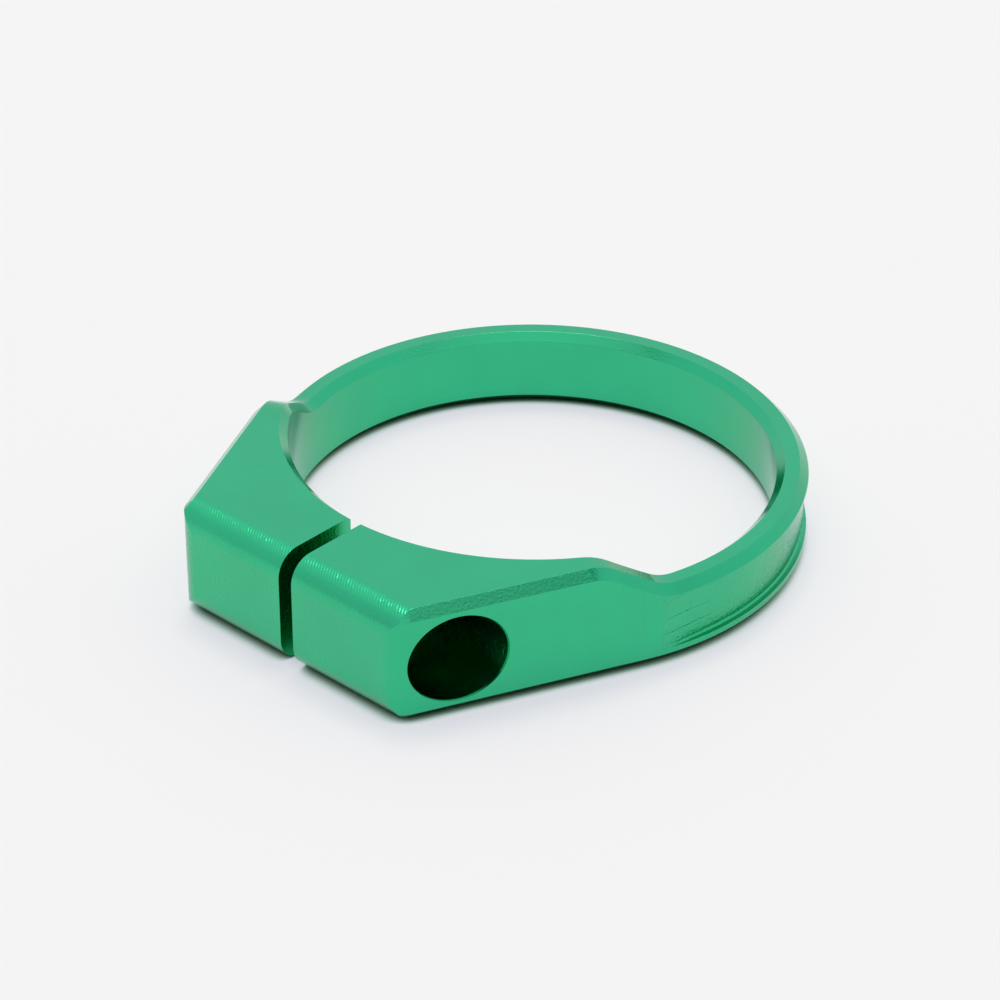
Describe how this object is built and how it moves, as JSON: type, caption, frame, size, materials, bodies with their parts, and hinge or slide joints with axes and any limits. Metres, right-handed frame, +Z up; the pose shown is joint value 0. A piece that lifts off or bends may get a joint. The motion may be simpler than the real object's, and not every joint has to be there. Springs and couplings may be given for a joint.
{
  "type": "steerer tube clamp",
  "caption": "Slim one-piece ring clamp for a steerer tube, with a tall tapered lug, a narrow slot and a counterbored cross screw hole, in green anodised aluminium.",
  "frame": {"origin": "on the bore axis, in the plane of the flat underside that the clamp rests on", "axes": "+Z up the bore, towards the side where the lug stands above the ring; the lug points to -Y; the screw lies along X, with its head on the +X side"},
  "size_m": [0.043, 0.0485, 0.0095],
  "materials": {
    "green_anodised": "fine blasted, then anodised satin green"
  },
  "bodies": {
    "root": {"clamp_body": "green_anodised"}
  },
  "joints": []
}
